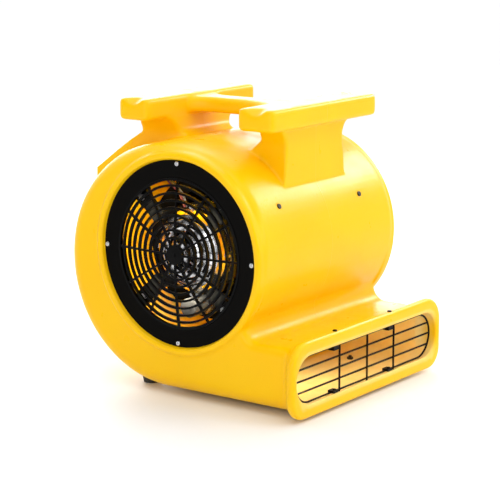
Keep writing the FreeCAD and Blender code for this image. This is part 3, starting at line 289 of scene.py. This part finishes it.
def stacked_steel():
    """Thin punched sheets stacked along the fan axis."""
    look = Look("core_steel", (0.42, 0.43, 0.45), 0.45, 1.0)
    wave = look.node("ShaderNodeTexWave", {"Vector": look.place, "Scale": 320.0, "Distortion": 0.4},
                     bands_direction="X").outputs["Fac"]
    look.colour(look.mix(wave, (0.30, 0.31, 0.33), (0.50, 0.51, 0.53)))
    look.roughness(look.span(look.noise(0.01, 3), 0.3, 0.7, 0.36, 0.56))
    look.bump(wave, 0.0002)
    return look.material


def copper_wire():
    """Enamelled copper strands wound round the core."""
    look = Look("winding_copper", (0.62, 0.24, 0.09), 0.32, 0.9)
    strands = look.noise(0.0012, 2, 0.5, look.stretched(1, 0.2, 0.2))
    look.colour(look.mix(look.span(strands, 0.35, 0.65), (0.70, 0.29, 0.11), (0.36, 0.12, 0.04)))
    look.roughness(look.span(look.noise(0.006, 2), 0.3, 0.7, 0.26, 0.44))
    look.bump(strands, 0.0003)
    return look.material


def moulded_black(name, colour, roughness, grain=0.0012, gloss=0.5, dustiness=0.03):
    """Injection-moulded plastic with a spark-eroded skin and faint dust."""
    look = Look(name, colour, roughness)
    look.gloss(gloss)
    dust = look.times(look.upward(0.1, 0.9), look.span(look.noise(0.012, 4, 0.6), 0.4, 0.75))
    paler = tuple(c * 1.5 + dustiness * 0.1 for c in colour)
    base = look.mix(look.times(look.span(look.noise(0.02, 2), 0.35, 0.65), 0.5), colour, paler)
    look.colour(look.mix(look.times(dust, 0.25), base, tuple(c * 1.2 + dustiness for c in colour)))
    look.roughness(look.span(look.noise(0.01, 3), 0.3, 0.7, roughness - 0.07, roughness + 0.10))
    look.bump(look.noise(grain, 2), 0.00010)
    return look.material


def fan_plastic():
    """Wheel plastic, greyed by the dust that the blades throw outwards."""
    look = Look("wheel_black", (0.001, 0.001, 0.001), 0.5)
    look.gloss(0.05)
    streaks = look.span(look.noise(0.02, 5, 0.65, look.stretched(0.3, 1, 1)), 0.4, 0.72)
    look.colour(look.mix(look.times(streaks, 0.4), (0.0003, 0.0003, 0.0003), (0.0012, 0.0011, 0.0010)))
    look.roughness(look.span(look.noise(0.01, 3), 0.3, 0.7, 0.42, 0.66))
    look.bump(look.noise(0.0014, 2), 0.0001)
    return look.material


def soft_rubber(name, colour, roughness=0.75):
    """Rubber or cable sheath with a matt, slightly uneven skin."""
    look = Look(name, colour, roughness)
    worn = look.span(look.noise(0.006, 4, 0.6), 0.45, 0.75)
    paler = tuple(c * 1.6 + 0.0003 for c in colour)
    look.colour(look.mix(look.times(worn, 0.5), colour, paler))
    look.roughness(look.span(look.noise(0.004, 3), 0.3, 0.7, roughness - 0.1, roughness + 0.12))
    look.bump(look.noise(0.0009, 2), 0.00008)
    return look.material


def floor_white():
    """Pale matt paper under the part."""
    look = Look("floor_white", (0.86, 0.86, 0.86), 0.6)
    look.colour(look.mix(look.noise(0.9, 2), (0.865, 0.865, 0.865), (0.855, 0.855, 0.854)))
    look.roughness(look.span(look.noise(0.4, 3), 0.3, 0.7, 0.5, 0.62))
    look.bump(look.noise(0.002, 2), 0.00002)
    return look.material


MATERIALS = {
    "casing_yellow": moulded_yellow(),
    "ring_black": black_sheet(),
    "wire_black": black_wire(),
    "screw_bright": plated_screw().material,
    "screw_black": bright_metal("screw_black", (0.06, 0.055, 0.05), 0.42, 0.0009, 0.00005).material,
    "motor_alloy": cast_alloy(),
    "motor_paint": bright_metal("motor_paint", (0.66, 0.67, 0.69), 0.34, 0.0012, 0.00006).material,
    "bearing_steel": bright_metal("bearing_steel", (0.72, 0.73, 0.75), 0.16, 0.0006, 0.00003).material,
    "core_steel": stacked_steel(),
    "winding_copper": copper_wire(),
    "shaft_steel": bright_metal("shaft_steel", (0.64, 0.65, 0.67), 0.22, 0.0007, 0.00004).material,
    "zinc_steel": bright_metal("zinc_steel", (0.70, 0.71, 0.72), 0.28, 0.0009, 0.00006).material,
    "cradle_black": moulded_black("cradle_black", (0.0003, 0.0003, 0.0003), 0.38, gloss=0.1, dustiness=0.001),
    "bush_rubber": soft_rubber("bush_rubber", (0.008, 0.008, 0.008)),
    "foot_rubber": soft_rubber("foot_rubber", (0.03, 0.03, 0.03)),
    "wheel_black": fan_plastic(),
    "clip_black": moulded_black("clip_black", (0.002, 0.002, 0.002), 0.42, gloss=0.08, dustiness=0.008),
    "plug_black": moulded_black("plug_black", (0.03, 0.027, 0.022), 0.5),
    "switch_black": moulded_black("switch_black", (0.02, 0.02, 0.021), 0.42),
    "works_grey": moulded_black("works_grey", (0.25, 0.25, 0.26), 0.5),
    "gland_black": moulded_black("gland_black", (0.02, 0.02, 0.021), 0.45),
    "lead_red": soft_rubber("lead_red", (0.012, 0.0004, 0.0003), 0.45),
    "lead_black": soft_rubber("lead_black", (0.02, 0.02, 0.02), 0.45),
    "capacitor_black": moulded_black("capacitor_black", (0.015, 0.015, 0.016), 0.35),
}


def dress_frame():
    """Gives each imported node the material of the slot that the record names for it."""
    for entry in frame["record"]["subparts"]:
        materials = NODES[entry["node"]].data.materials
        materials.clear()
        materials.append(MATERIALS[entry["material_slot"]])


# ---------------------------------------------------------------- casing

VOXEL = 1.8 * MM
FACES_KEPT = 180000
SOFTENING_STEPS = 5
NECK_STEPS = 40
BAR_STEPS = 20


def points_of(mesh):
    """The mesh's points as an array with one row for each."""
    flat = np.empty(len(mesh.vertices) * 3, np.float32)
    mesh.vertices.foreach_get("co", flat)
    return flat.reshape(-1, 3).astype(float)


def softened(mesh, steps, weight):
    """Rounds a mesh by moving each point towards the mean of its neighbours, weight times the way."""
    points = points_of(mesh)
    pairs = np.empty(len(mesh.edges) * 2, np.int32)
    mesh.edges.foreach_get("vertices", pairs)
    first, second = pairs.reshape(-1, 2).T
    ends = np.concatenate([first, second])
    others = np.concatenate([second, first])
    total = len(points)
    neighbours = np.bincount(ends, minlength=total).clip(1)
    for _ in range(steps):
        sums = np.stack([np.bincount(ends, points[others, axis], total) for axis in range(3)], 1)
        points += weight[:, None] * (sums / neighbours[:, None] - points)
    mesh.vertices.foreach_set("co", points.astype(np.float32).ravel())
    mesh.update()


def applied(obj):
    """The mesh that obj's modifiers give, as a new mesh."""
    bpy.context.view_layer.update()
    evaluated = obj.evaluated_get(bpy.context.evaluated_depsgraph_get())
    return bpy.data.meshes.new_from_object(evaluated)


def thinned(mesh):
    """Fewer faces where the skin is flat, as many as before where it curves tightly."""
    carrier = bpy.data.objects.new("thinning", mesh)
    bpy.context.scene.collection.objects.link(carrier)
    decimate = carrier.modifiers.new("decimate", "DECIMATE")
    decimate.ratio = min(1.0, FACES_KEPT / (2 * len(mesh.polygons)))
    fewer = applied(carrier)
    bpy.data.objects.remove(carrier)
    return fewer


def remeshed_housing():
    """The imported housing's skin as one mesh of even small faces."""
    source = bpy.data.objects.new("casing_source", NODES["housing"].data.copy())
    bpy.context.scene.collection.objects.link(source)
    weld = source.modifiers.new("weld", "WELD")
    weld.merge_threshold = 0.01 * MM
    remesh = source.modifiers.new("remesh", "REMESH")
    remesh.mode = "VOXEL"
    remesh.voxel_size = VOXEL
    mesh = applied(source)
    bpy.data.objects.remove(source)
    return mesh


def round_off(mesh):
    """Rounds all edges a little, the bars and the neck behind the lip more, and the rings' seats hardly."""
    points = points_of(mesh)
    ring_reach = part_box("left_inlet_ring")[1].y
    ring_face = abs(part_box("left_inlet_ring")[1].x)
    off_axis = np.hypot(points[:, 1], points[:, 2] - FAN_HEIGHT)
    seat = (np.abs(points[:, 0]) > ring_face - 12 * MM) & (off_axis < ring_reach + 3 * MM)
    softened(mesh, SOFTENING_STEPS, np.where(seat, 0.12, 0.5))
    behind_lip = points[:, 1] - LIP_FRONT
    neck = np.interp(behind_lip, (12 * MM, 24 * MM, 42 * MM, 60 * MM), (0.0, 0.5, 0.5, 0.0))
    outside = (np.abs(points[:, 0]) > DUCT_SIDE - 20 * MM) | (points[:, 2] > 117 * MM)
    softened(mesh, NECK_STEPS, np.where(outside & (points[:, 2] < 150 * MM), neck, 0.0))
    bars = np.interp(points[:, 2], (405 * MM, 425 * MM), (0.0, 0.5))
    softened(mesh, BAR_STEPS, bars)


def casing_shell():
    """The moulded casing as one skin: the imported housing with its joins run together, as moulded."""
    mesh = remeshed_housing()
    round_off(mesh)
    mesh = thinned(mesh)
    for polygon in mesh.polygons:
        polygon.use_smooth = True
    shell = bpy.data.objects.new("casing_shell", mesh)
    bpy.context.scene.collection.objects.link(shell)
    mesh.materials.clear()
    mesh.materials.append(MATERIALS["casing_yellow"])
    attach(shell, "casing")
    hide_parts("housing")


# ---------------------------------------------------------------- studio

AZIMUTH = math.radians(-53.84)
ELEVATION = math.radians(11.53)
EYE = (-2.5733, -1.8833, 0.8774)
LENS = 130.65


def area_light(name, place, aim, size, power, colour=(1, 1, 1)):
    light = bpy.data.lights.new(name, "AREA")
    light.shape = "RECTANGLE"
    light.size, light.size_y = size
    light.energy = power
    light.color = colour
    obj = bpy.data.objects.new(name, light)
    obj.location = place
    obj.rotation_euler = (Vector(aim) - Vector(place)).to_track_quat("-Z", "Y").to_euler()
    bpy.context.scene.collection.objects.link(obj)
    return obj


def sun(name, direction, strength, spread):
    light = bpy.data.lights.new(name, "SUN")
    light.energy = strength
    light.angle = math.radians(spread)
    obj = bpy.data.objects.new(name, light)
    obj.rotation_euler = Vector(direction).to_track_quat("-Z", "Y").to_euler()
    bpy.context.scene.collection.objects.link(obj)


BACKDROP_LIGHT = 1.35
CAMERA_SIDE_LIGHT = 0.18


def white_world():
    """Pure white to look at; as a light it is bright behind the part and dim on the camera's side."""
    world = bpy.data.worlds.new("studio")
    world.use_nodes = True
    tree = world.node_tree
    seen = tree.nodes["Background"]
    seen.inputs["Color"].default_value = (1, 1, 1, 1)
    seen.inputs["Strength"].default_value = 1.02
    lit = tree.nodes.new("ShaderNodeBackground")
    lit.inputs["Color"].default_value = (1, 1, 1, 1)
    place = tree.nodes.new("ShaderNodeTexCoord")
    away = tree.nodes.new("ShaderNodeVectorMath")
    away.operation = "DOT_PRODUCT"
    away.inputs[1].default_value = (-math.sin(AZIMUTH), math.cos(AZIMUTH), 0)
    strength = tree.nodes.new("ShaderNodeMapRange")
    strength.interpolation_type = "SMOOTHSTEP"
    strength.inputs[1].default_value = -0.35
    strength.inputs[2].default_value = 0.75
    strength.inputs[3].default_value = CAMERA_SIDE_LIGHT
    strength.inputs[4].default_value = BACKDROP_LIGHT
    ray = tree.nodes.new("ShaderNodeLightPath")
    choose = tree.nodes.new("ShaderNodeMixShader")
    tree.links.new(place.outputs["Generated"], away.inputs[0])
    tree.links.new(away.outputs["Value"], strength.inputs[0])
    tree.links.new(strength.outputs[0], lit.inputs["Strength"])
    tree.links.new(ray.outputs["Is Camera Ray"], choose.inputs[0])
    tree.links.new(lit.outputs[0], choose.inputs[1])
    tree.links.new(seen.outputs[0], choose.inputs[2])
    tree.links.new(choose.outputs[0], tree.nodes["World Output"].inputs["Surface"])
    bpy.context.scene.world = world


def paper_floor():
    mesh = bpy.data.meshes.new("floor")
    half = 30.0
    corners = [(-half, -half, 0), (half, -half, 0), (half, half, 0), (-half, half, 0)]
    mesh.from_pydata(corners, [], [(0, 1, 2, 3)])
    mesh.materials.append(floor_white())
    floor = bpy.data.objects.new("floor", mesh)
    bpy.context.scene.collection.objects.link(floor)


def room_lights():
    """Soft light from above, a bright box behind, and weaker fills on the left and in front."""
    sun("overhead", (0.10, 0.30, -1.0), 1.72, 80)
    area_light("back_box", (1.7, 2.0, 1.0), (0.1, 0.0, 0.35), (2.6, 1.3), 42)
    area_light("left_box", (-2.3, -0.5, 0.9), (0.0, 0.0, 0.25), (1.2, 1.2), 16)
    area_light("front_box", (0.7, -2.5, 1.1), (0.0, -0.1, 0.2), (1.5, 1.1), 22)


def duct_lights():
    """A glow under the duct's top, as if through its wall, and a sheen along the crease above it."""
    under_top = (0, -0.18, 0.1125)
    glow = area_light("duct_glow", under_top, (0, -0.18, 0), (0.36, 0.12), 0.09, (1.0, 0.88, 0.70))
    glow.visible_glossy = False
    sheen = area_light("crease_line", (1.2, -0.45, 1.0), (0, -0.17, 0.14), (0.6, 0.4), 14)
    sheen.visible_diffuse = False


def inlet_lights():
    """A glow on the drum's inner skin, as if through its wall, and a glint on the motor's end bell."""
    behind_ring = (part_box("left_inlet_ring")[1].x + 8 * MM, 0, FAN_HEIGHT)
    fan_middle = (0, 0, FAN_HEIGHT)
    glow = area_light("inlet_glow", behind_ring, fan_middle, (0.16, 0.16), 8.0, (1.0, 0.90, 0.66))
    glow.visible_glossy = False
    glint = area_light("bell_glint", behind_ring, fan_middle, (0.14, 0.14), 0.5)
    glint.visible_diffuse = False


def studio():
    paper_floor()
    white_world()
    room_lights()
    duct_lights()
    inlet_lights()
    bpy.context.scene.view_settings.view_transform = "Standard"


def camera():
    """Looks down on the motor side and the outlet from a distance, as a product shot does."""
    right = Vector((math.cos(AZIMUTH), math.sin(AZIMUTH), 0))
    ahead = Vector((-math.sin(AZIMUTH) * math.cos(ELEVATION), math.cos(AZIMUTH) * math.cos(ELEVATION),
                    -math.sin(ELEVATION)))
    up = right.cross(ahead)
    data = bpy.data.cameras.new("camera")
    data.lens = LENS
    data.sensor_width = 36
    obj = bpy.data.objects.new("camera", data)
    obj.matrix_world = Matrix.Translation(EYE) @ Matrix((right, up, -ahead)).transposed().to_4x4()
    bpy.context.scene.collection.objects.link(obj)
    bpy.context.scene.camera = obj


dress_frame()
casing_shell()
studio()
camera()
